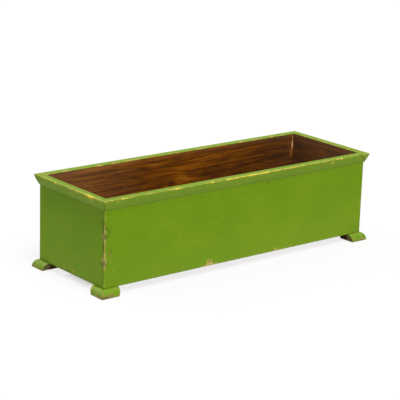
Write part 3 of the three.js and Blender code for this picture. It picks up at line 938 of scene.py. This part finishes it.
def add_wall(name, along, outward, finish):
    thin = 1 - along
    low, high = node_box(name)
    if along == 1:
        # The paint has closed the joint between the end board and the long boards.
        low[1], high[1] = -INNER_WIDTH, INNER_WIDTH
    extra_rows = BARE_STRIP_ROWS if name == "back_board" else ()
    points, faces = planed_board(low, high, wall_rounding(thin, outward), extra_rows)
    face = high[thin] if outward > 0 else low[thin]
    depth = (face - points[:, thin]) * outward
    flat = points.copy()
    waves = HAND_WAVE * (0.5 + 0.5 * slow_noise(points, 110, 3))
    points[:, thin] -= outward * waves * (1 - depth / THICKNESS)
    piece = new_piece(f"{name}_painted", points, faces, finish)

    x, y, z = flat.T
    inside = rise(depth, THICKNESS - STAIN_START, THICKNESS - STAIN_FULL)
    if along == 0:
        inside *= rise(abs(x), HALF_LENGTH, HALF_LENGTH - STAIN_FROM_END)
    stain = np.clip(inside - near(BODY_TOP - z, PAINT_LAP), 0, 1)
    underneath = rise(z - BODY_BOTTOM, 0.4, 0) * rise(depth, 0, BARE_UNDER)
    inner_edge = (BODY_TOP - z) + (THICKNESS - depth)
    wear = np.maximum(wall_wear(flat), near(inner_edge, *INNER_EDGE_RUB))
    if name in ("back_board", "right_end_board"):
        wear = np.maximum(wear, near(inner_edge, *FAR_INNER_EDGE_RUB))
    # Painted light just below the rim, offsetting the rim's shadow.
    painted_light_below_rim = near(RIM_BOTTOM - z, *BELOW_RIM_PAINTED_LIGHT) * (depth < 1)
    on_top = WALL_TOP_CLEAN * (z > BODY_TOP - TOP_SKIN)
    set_attributes(
        piece,
        stain=np.maximum(stain, underneath),
        wear=wear,
        grime=wall_grime(flat),
        # Dust and painted light: paler towards the bottom and just below the rim, cleaner on top.
        dust=WALL_DUST_AND_FLOOR_LIGHT * rise(z, BODY_TOP, BODY_BOTTOM) ** 2 + painted_light_below_rim - on_top,
    )

    bare = 0.0
    # Painted shade on the inner faces of the back and right end boards.
    shade = profile(flat[:, along], SHADE.get(name, NO_SHADE))
    haze = profile(flat[:, along], HAZE.get(name, SLIGHT_HAZE))
    # Splashes have paled the stain just below the edge.
    haze += near(BODY_TOP - z, *SPLASHED_STAIN)
    if name == "back_board":
        bare = near(x - BARE_STRIP_MIDDLE, BARE_STRIP_REACH, profile(z, BARE_STRIP_RUB))
        bare *= abs(y - INNER_WIDTH) < 1
        # Less painted shade round the bare strip.
        shade *= 1 - near(x - LESS_SHADE_MIDDLE, *LESS_SHADE) * (z > LESS_SHADE_BOTTOM)
    set_attributes(piece, bare=bare)
    set_stain(piece, flat, along, 2, name, shade, haze)
    seat(piece, "painted_board", name)


# ---- Mouldings ----

WALLS = {
    "front": (0, HALF_LENGTH, HALF_WIDTH),
    "right": (90, HALF_WIDTH, HALF_LENGTH),
    "back": (180, HALF_LENGTH, HALF_WIDTH),
    "left": (-90, HALF_WIDTH, HALF_LENGTH),
}


def soften(outline, radii, steps=5):
    """An outline of (out, up) corners with each corner rounded, and long stretches divided."""
    rounded = []
    count = len(outline)
    for i, radius in enumerate(radii):
        before, at, after = (np.array(outline[(i + k) % count], float) for k in (-1, 0, 1))
        if not radius:
            rounded.append(at)
            continue
        start = at + (before - at) / np.linalg.norm(before - at) * radius
        stop = at + (after - at) / np.linalg.norm(after - at) * radius
        for t in np.linspace(0, 1, steps + 1):
            rounded.append((1 - t) ** 2 * start + 2 * t * (1 - t) * at + t ** 2 * stop)
    divided = []
    for i, at in enumerate(rounded):
        after = rounded[(i + 1) % len(rounded)]
        pieces = max(1, math.ceil(np.linalg.norm(after - at) / SECTION_STEP))
        divided += [at + (after - at) * k / pieces for k in range(pieces)]
    return np.array(divided)


def inset(section, amount):
    """The section moved inwards by amount. It runs up the back and down the face."""
    ahead = np.roll(section, -1, axis=0) - np.roll(section, 1, axis=0)
    lengths = np.linalg.norm(ahead, axis=1, keepdims=True)
    normal = np.column_stack([ahead[:, 1], -ahead[:, 0]]) / lengths
    return section + normal * amount


def rim_section():
    """Up the back of the rim moulding, out over its top and down its crowned face."""
    outline = [(GLUE_LINE, 0), (GLUE_LINE, RIM_HEIGHT), (RIM_FLARE, RIM_HEIGHT)]
    steps = 8
    for i in range(steps - 1, -1, -1):
        share = i / steps
        slope = RIM_LOWER_EDGE + (RIM_FLARE - RIM_LOWER_EDGE) * share
        outline.append((slope + 4 * RIM_CROWN * share * (1 - share), RIM_HEIGHT * share))
    radii = [JOINT_ROUND, JOINT_ROUND, RIM_TOP_ROUND] + [0] * (steps - 1) + [RIM_LOWER_ROUND]
    return soften(outline, radii)


def foot_section():
    """Up the back of a foot moulding, then a quarter of an ellipse out to the ground."""
    outline = [(-FOOT_BACK, 0), (-FOOT_BACK, FOOT_TOP)]
    steps = 14
    for i in range(steps + 1):
        angle = math.pi / 2 * i / steps
        outline.append((FOOT_FLARE * math.sin(angle), FOOT_TOP * math.cos(angle)))
    radii = [JOINT_ROUND, JOINT_ROUND] + [0] * steps + [FOOT_GROUND_ROUND]
    return soften(outline, radii)


def moulding(section, start_cut, end_cut, wall, base_up):
    """Points and faces of a moulding along a wall between two flat cuts, each a function from
    the section's out and up to a place along the wall. Its cut edges are eased."""
    turn, _, face = WALLS[wall]
    middle = section.mean(axis=0)
    length = end_cut(*middle) - start_cut(*middle)
    inner = [d for d, _ in MITRE_EASE]
    gap = length - 2 * inner[-1]
    count = max(2, round(gap / MOULDING_STEP))
    stations = list(MITRE_EASE)
    stations += [(inner[-1] + gap * i / count, 0) for i in range(1, count)]
    stations += [(length - d, e) for d, e in reversed(MITRE_EASE)]
    rotation = Matrix.Rotation(math.radians(turn), 3, "Z")
    points, faces = [], []
    size = len(section)
    for distance, ease in stations:
        share = distance / length
        for out, up in inset(section, ease):
            along = start_cut(out, up) * (1 - share) + end_cut(out, up) * share
            points.append(rotation @ Vector((along, -face - out, base_up + up)))
    for k in range(len(stations) - 1):
        for i in range(size):
            j = (i + 1) % size
            a, b = k * size, (k + 1) * size
            faces.append([a + i, a + j, b + j, b + i])
    faces.append(list(range(size))[::-1])
    last = (len(stations) - 1) * size
    faces.append([last + i for i in range(size)])
    return np.array(points), faces


def mitre(half, end):
    return lambda out, up: end * (half + out - MITRE_GAP / math.sqrt(2))


def leg_end(half, end, side):
    reach = FOOT_REACH_SIDE if side else FOOT_REACH_END
    undercut = FOOT_UNDERCUT_SIDE if side else FOOT_UNDERCUT_END
    return lambda out, up: end * (half - reach - undercut * up / FOOT_TOP)


def add_rim(wall):
    half = WALLS[wall][1]
    points, faces = moulding(rim_section(), mitre(half, -1), mitre(half, 1), wall, RIM_BOTTOM)
    along_x = wall in ("front", "back")
    piece = new_piece(f"{wall}_rim_painted", points, faces, PAINT_LONG if along_x else PAINT_END)
    x, _, z = points.T
    seam = near(from_mitre(points), *RIM_SEAM_DIRT) * np.where(z > BODY_TOP - 6, 1, 0.4)
    soiled = near(from_mitre(points), *SOILED_CORNER_DIRT) * on_soiled_corner(points)
    # The right end of a long rim, handled most, has a paler triangle with a dark edge.
    inside = np.full(len(points), -99)
    if along_x:
        from_end = HALF_LENGTH + RIM_FLARE - x * (1 if wall == "front" else -1)
        inside = RIM_END_PALE * (z - RIM_BOTTOM) / RIM_HEIGHT + PALE_END_REACH - from_end
    on_top = RIM_TOP_CLEAN * (z > BODY_TOP - TOP_SKIN)
    set_attributes(
        piece,
        wear=rim_wear(points, wall),
        grime=np.maximum.reduce([seam, soiled, near(inside, *PALE_END_EDGE)]),
        dust=RIM_DUST + profile(inside, PALE_END_DUST) - on_top,
    )
    seat(piece, "painted_rim", f"{wall}_rim")


def add_foot(corner, long_wall, end_wall, end):
    for wall, side, at in ((long_wall, True, end), (end_wall, False, -end)):
        half = WALLS[wall][1]
        cuts = [mitre(half, at), leg_end(half, at, side)]
        if at > 0:
            cuts.reverse()
        points, faces = moulding(foot_section(), *cuts, wall, 0)
        kind = "side" if side else "end"
        name = f"{corner}_foot_{kind}_moulding"
        piece = new_piece(f"{name}_painted", points, faces, FOOT_LONG if side else FOOT_END)
        x, y, z = points.T
        along, out = (abs(x), abs(y) - HALF_WIDTH) if side else (abs(y), abs(x) - HALF_LENGTH)
        from_leg_end = along - abs(leg_end(half, 1, side)(out, z))
        # A painted highlight on the upper curve of an end moulding.
        painted_highlight = near(z - END_FOOT_HIGHLIGHT_HEIGHT, *END_FOOT_PAINTED_HIGHLIGHT)
        blotch = patches(points, *FOOT_PATCHES)
        set_attributes(
            piece,
            wear=np.maximum(foot_wear(points, blotch), near(from_leg_end, *LEG_END_RUB)),
            # Dirt, with painted shade behind the foot, on its sawn leg end, and low on the end
            # mouldings.
            grime=np.maximum.reduce([
                near(FOOT_TOP - z, *FOOT_TOP_DIRT) * near(out, 2),
                BEHIND_FOOT_DIRT_AND_SHADE * rise(out, 0, -3),
                near(from_leg_end, *LEG_END_DIRT_AND_SHADE),
                near(z, 1.5 + 3 * blotch, 0.4),
                near(z, *END_FOOT_PAINTED_SHADE) * (not side),
            ]),
            dust=FOOT_DUST * blotch + painted_highlight * (not side) - FOOT_CLEAN,
        )
        seat(piece, "painted_foot", name)


def lathe(outline, sides, place=(0, 0, 0)):
    """Points and outward faces of a solid turned about Z, from (radius, up) stops that start
    and end on its axis and go up its outside."""
    points = [(0, 0, outline[0][1])]
    for radius, up in outline[1:-1]:
        for i in range(sides):
            angle = 2 * math.pi * i / sides
            points.append((radius * math.cos(angle), radius * math.sin(angle), up))
    points.append((0, 0, outline[-1][1]))
    rings = [[1 + k * sides + i for i in range(sides)] for k in range(len(outline) - 2)]
    faces = []
    for i in range(sides):
        j = (i + 1) % sides
        faces.append([0, rings[0][j], rings[0][i]])
        for below, above in zip(rings, rings[1:]):
            faces.append([below[i], below[j], above[j], above[i]])
        faces.append([rings[-1][i], rings[-1][j], len(points) - 1])
    return np.array(points) + place, faces


def cut_away(piece, points, faces):
    """Takes the given closed shape out of the piece, whose mesh is made anew."""
    cutter = new_piece("cutter", points, faces, SAWN_PINE)
    cut = piece.modifiers.new("cut", "BOOLEAN")
    cut.operation = "DIFFERENCE"
    cut.solver = "EXACT"
    cut.object = cutter
    plain_mesh(piece)
    bpy.data.objects.remove(cutter)
    return mesh_points(piece)


def plain_mesh(piece):
    """Turns what the piece's modifiers make into its own mesh."""
    bpy.context.view_layer.update()
    evaluated = piece.evaluated_get(bpy.context.evaluated_depsgraph_get())
    mesh = bpy.data.meshes.new_from_object(evaluated)
    piece.modifiers.clear()
    piece.data = mesh


def mesh_points(piece):
    """The piece's points in millimetres."""
    points = np.empty(3 * len(piece.data.vertices))
    piece.data.vertices.foreach_get("co", points)
    return points.reshape(-1, 3) / MM


def screw_place(name):
    low, high = node_box(name)
    return ((low[0] + high[0]) / 2, (low[1] + high[1]) / 2, SCREW_SET)


def add_foot_block(corner):
    name = f"{corner}_foot_block"
    low, high = node_box(name)
    points, faces = grid_box([grid_rows(low[k], high[k]) for k in range(3)])
    sx = 1 if high[0] > 0 else -1
    sy = 1 if high[1] > 0 else -1
    up = points[:, 2]
    for axis, sign, half, reach, undercut in (
        (0, sx, HALF_LENGTH, FOOT_REACH_SIDE, FOOT_UNDERCUT_SIDE),
        (1, sy, HALF_WIDTH, FOOT_REACH_END, FOOT_UNDERCUT_END),
    ):
        outer = half - FOOT_BACK - GLUE_LINE
        from_outer = (outer - points[:, axis] * sign) / (high[axis] - low[axis])
        reach_now = half - reach - undercut * up / FOOT_TOP
        points[:, axis] = sign * (outer + (reach_now - outer) * from_outer)
    piece = new_piece(f"{name}_sawn", points, faces, SAWN_PINE)
    head = SCREW_HEAD_RADIUS + BORE_GAP
    shank = SCREW_SHANK_RADIUS + BORE_GAP
    bore = [
        (0, -3), (head, -3), (head, SCREW_HEAD_LIP + BORE_GAP),
        (shank, SCREW_HEAD_HEIGHT + BORE_GAP), (shank, FOOT_TOP), (0, FOOT_TOP),
    ]
    cut_away(piece, *lathe(bore, TURNED_SIDES, screw_place(f"{corner}_foot_screw")))
    seat(piece, "bare_block", name)


def add_floor():
    name = "floor_board"
    points, faces = planed_board(FLOOR_LOW, FLOOR_HIGH, lambda axis, signs: JOINT_ROUND)
    piece = new_piece(f"{name}_stained", points, faces, STAINED_PINE)
    past = 1  # how far the drill goes past the board, as wide as its chamfer is there
    wide = DRAIN_HOLE_RADIUS + DRAIN_HOLE_CHAMFER + past
    low, high = FLOOR_LOW[2], FLOOR_HIGH[2]
    hole = [
        (0, low - past), (wide, low - past), (DRAIN_HOLE_RADIUS, low + DRAIN_HOLE_CHAMFER),
        (DRAIN_HOLE_RADIUS, high - DRAIN_HOLE_CHAMFER), (wide, high + past), (0, high + past),
    ]
    for place in DRAIN_HOLE_PLACES:
        points = cut_away(piece, *lathe(hole, DRAIN_HOLE_SIDES, (place, 0, 0)))
    from_holes = np.min([
        np.hypot(points[:, 0] - place, points[:, 1]) for place in DRAIN_HOLE_PLACES
    ], axis=0)
    damp = FLOOR_DAMP + near(np.maximum(from_holes - DRAIN_HOLE_RADIUS, 0), *HOLE_DAMP)
    set_stain(piece, points, 0, 1, name, damp, FLOOR_HAZE)
    seat(piece, "stained_board", name)


# ---- Screws, by Geometry Nodes ----


def screw_pattern():
    """One countersunk wood screw with a cross recess, its head down at the origin."""
    radius, shank = SCREW_HEAD_RADIUS, SCREW_SHANK_RADIUS
    outline = [
        (0, 0.05), (radius - 0.5, 0), (radius - 0.1, 0.08), (radius, 0.2), (radius, SCREW_HEAD_LIP),
        (shank, SCREW_HEAD_HEIGHT), (shank, SCREW_LENGTH - SCREW_POINT),
        (SCREW_TIP, SCREW_LENGTH - SCREW_TIP), (0, SCREW_LENGTH),
    ]
    turned = lathe(outline, TURNED_SIDES)
    pattern = new_piece("screw_pattern", *turned, DULL_STEEL, sharp_angle=25)
    cross = []
    for depth, share in ((-0.5, 1.0), (RECESS_DEPTH, RECESS_TAPER)):
        reach, half = RECESS_REACH * share, RECESS_WIDTH / 2 * (0.5 + 0.5 * share)
        for turn in range(4):
            angle = math.pi / 2 * turn
            for out, aside in ((half, -half), (reach, -half), (reach, half)):
                x = out * math.cos(angle) - aside * math.sin(angle)
                y = out * math.sin(angle) + aside * math.cos(angle)
                cross.append((x, y, depth))
    sides = [[i, (i + 1) % 12, (i + 1) % 12 + 12, i + 12] for i in range(12)]
    faces = [list(range(12))[::-1], list(range(12, 24)), *sides]
    cut_away(pattern, np.array(cross), faces)
    return pattern


def screws_at_points():
    """Geometry Nodes that stand a screw on each point, each turned further than the last."""
    tree = bpy.data.node_groups.new("screws_at_points", "GeometryNodeTree")
    for label, kind in (
        ("Points", "NodeSocketGeometry"), ("Screw", "NodeSocketObject"),
        ("Turn", "NodeSocketFloat"), ("Finish", "NodeSocketMaterial"),
    ):
        tree.interface.new_socket(label, in_out="INPUT", socket_type=kind)
    tree.interface.new_socket("Screws", in_out="OUTPUT", socket_type="NodeSocketGeometry")
    given = node(tree, "NodeGroupInput").outputs
    screw = node(tree, "GeometryNodeObjectInfo", {"Object": given["Screw"]})
    index = node(tree, "GeometryNodeInputIndex")
    turn = node(tree, "ShaderNodeMath", {0: index, 1: given["Turn"]}, operation="MULTIPLY")
    stand = node(tree, "ShaderNodeCombineXYZ", {"Z": turn})
    screws = node(tree, "GeometryNodeInstanceOnPoints", {
        "Points": given["Points"], "Instance": screw.outputs["Geometry"], "Rotation": stand,
    })
    real = node(tree, "GeometryNodeRealizeInstances", {"Geometry": screws})
    finished = node(tree, "GeometryNodeSetMaterial", {"Geometry": real, "Material": given["Finish"]})
    node(tree, "NodeGroupOutput", {"Screws": finished})
    return tree


def add_screws():
    pattern = screw_pattern()
    places = [screw_place(name) for name in SCREWS]
    piece = new_piece("foot_screws_steel", places, [], DULL_STEEL)
    maker = piece.modifiers.new("screws", "NODES")
    maker.node_group = screws_at_points()
    values = {"Screw": pattern, "Turn": 0.7, "Finish": DULL_STEEL}
    for item in maker.node_group.interface.items_tree:
        if item.in_out == "INPUT" and item.name in values:
            maker[item.identifier] = values[item.name]
    plain_mesh(piece)
    bpy.data.objects.remove(pattern)
    seat(piece, "steel_fastener", *SCREWS)


# ---- The planter ----

add_wall("front_board", 0, -1, BOARD_LONG)
add_wall("back_board", 0, 1, BOARD_LONG)
add_wall("left_end_board", 1, -1, BOARD_END)
add_wall("right_end_board", 1, 1, BOARD_END)
add_floor()
for wall_name in WALLS:
    add_rim(wall_name)
for foot, long_wall, end_wall, end in (
    ("front_left", "front", "left", -1),
    ("front_right", "front", "right", 1),
    ("back_right", "back", "right", -1),
    ("back_left", "back", "left", 1),
):
    add_foot(foot, long_wall, end_wall, end)
    add_foot_block(foot)
add_screws()

for name, cad_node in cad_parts.items():
    if "nail" in name or "brad" in name:
        for material_slot in cad_node.material_slots:
            material_slot.material = DULL_STEEL


# ---- Studio ----


def add_camera():
    data = bpy.data.cameras.new("camera")
    data.lens = CAMERA_LENS
    data.sensor_width = SENSOR
    camera = bpy.data.objects.new("camera", data)
    camera.rotation_mode = "QUATERNION"
    turn = (
        Matrix.Rotation(math.radians(CAMERA_AZIMUTH), 3, "Z")
        @ Matrix.Rotation(math.radians(90 - CAMERA_ELEVATION), 3, "X")
        @ Matrix.Rotation(math.radians(CAMERA_ROLL), 3, "Z")
    )
    camera.rotation_quaternion = turn.to_quaternion()
    camera.location = CAMERA_PLACE
    bpy.context.scene.collection.objects.link(camera)
    bpy.context.scene.camera = camera


WORLD_LEVEL = 0.5
KEY_LEVEL = 0.8  # on a face square to it, where 1 shows a colour as it is written
KEY_FROM = (-0.13, -0.52, 0.84)
KEY_SPREAD = 40
FILL_LEVEL = 0.14
FILL_FROM = (-0.3, 0.75, 0.6)
FILL_SPREAD = 36
BOUNCE_LEVEL = 0.3
BOUNCE_FROM = (-0.05, -0.2, -0.98)
BOUNCE_SPREAD = 80
FLOOR_HALF = 6.0
FLOOR_WHITE = 0.86
FLOOR_GLOW = 0.8
DARK_FLOOR = (330, 40)  # half the length and width of what shows through the drain holes


def add_sun(name, level, towards, spread):
    data = bpy.data.lights.new(name, "SUN")
    data.energy = level * math.pi
    data.angle = math.radians(spread)
    lamp = bpy.data.objects.new(name, data)
    lamp.rotation_mode = "QUATERNION"
    lamp.rotation_quaternion = Vector(towards).to_track_quat("Z", "Y")
    bpy.context.scene.collection.objects.link(lamp)


def add_world():
    world = bpy.data.worlds.new("white_studio")
    world.use_nodes = True
    tree = world.node_tree
    tree.nodes.clear()
    rays = node(tree, "ShaderNodeLightPath")
    seen = node(tree, "ShaderNodeMath", {
        0: rays.outputs["Is Camera Ray"], 1: rays.outputs["Is Glossy Ray"],
    }, operation="MAXIMUM")
    seen = node(tree, "ShaderNodeMath", {
        0: seen, 1: rays.outputs["Is Transmission Ray"],
    }, operation="MAXIMUM")
    level = node(tree, "ShaderNodeMapRange", {"Value": seen, "To Min": WORLD_LEVEL, "To Max": 1.0})
    light = node(tree, "ShaderNodeBackground", {"Color": (1, 1, 1, 1), "Strength": level})
    node(tree, "ShaderNodeOutputWorld", {"Surface": light})
    bpy.context.scene.world = world


def add_floor_stage():
    """A white floor that shows the object's shadow, paled by a glow of its own but for the part
    under the box that shows through the drain holes. It is seen from above only, and throws no
    light or shadow on the object."""
    made, tree = blank_material("white_floor")
    white = node(tree, "ShaderNodeBsdfDiffuse", {"Color": (*[FLOOR_WHITE] * 3, 1)})
    glow = node(tree, "ShaderNodeEmission", {"Color": (1, 1, 1, 1), "Strength": 1.0})
    place = node(tree, "ShaderNodeTexCoord").outputs["Object"]
    aside = node(tree, "ShaderNodeVectorMath", {
        0: place, 1: (1 / (DARK_FLOOR[0] * MM), 1 / (DARK_FLOOR[1] * MM), 0),
    }, operation="MULTIPLY")
    aside = node(tree, "ShaderNodeVectorMath", {0: aside}, operation="ABSOLUTE")
    aside = node(tree, "ShaderNodeSeparateXYZ", {"Vector": aside})
    aside = node(tree, "ShaderNodeMath", {
        0: aside.outputs["X"], 1: aside.outputs["Y"],
    }, operation="MAXIMUM")
    share = node(tree, "ShaderNodeMapRange", {
        "Value": aside, "From Min": 0.9, "From Max": 1.1, "To Min": 0.0, "To Max": FLOOR_GLOW,
    })
    paled = node(tree, "ShaderNodeMixShader", {0: share, 1: white, 2: glow})
    clear = node(tree, "ShaderNodeBsdfTransparent")
    back = node(tree, "ShaderNodeNewGeometry").outputs["Backfacing"]
    surface = node(tree, "ShaderNodeMixShader", {0: back, 1: paled, 2: clear})
    node(tree, "ShaderNodeOutputMaterial", {"Surface": surface})
    mesh = bpy.data.meshes.new("studio_floor")
    corners = [(-1, -1), (1, -1), (1, 1), (-1, 1)]
    points = [(FLOOR_HALF * x, FLOOR_HALF * y, 0) for x, y in corners]
    mesh.from_pydata(points, [], [(0, 1, 2, 3)])
    mesh.materials.append(made)
    ground = bpy.data.objects.new("studio_floor", mesh)
    for kind in ("diffuse", "glossy", "transmission", "shadow"):
        setattr(ground, f"visible_{kind}", False)
    bpy.context.scene.collection.objects.link(ground)


add_camera()
add_world()
add_sun("key", KEY_LEVEL, KEY_FROM, KEY_SPREAD)
add_sun("fill", FILL_LEVEL, FILL_FROM, FILL_SPREAD)
add_sun("bounce", BOUNCE_LEVEL, BOUNCE_FROM, BOUNCE_SPREAD)
add_floor_stage()

bpy.context.scene.view_settings.view_transform = "Standard"
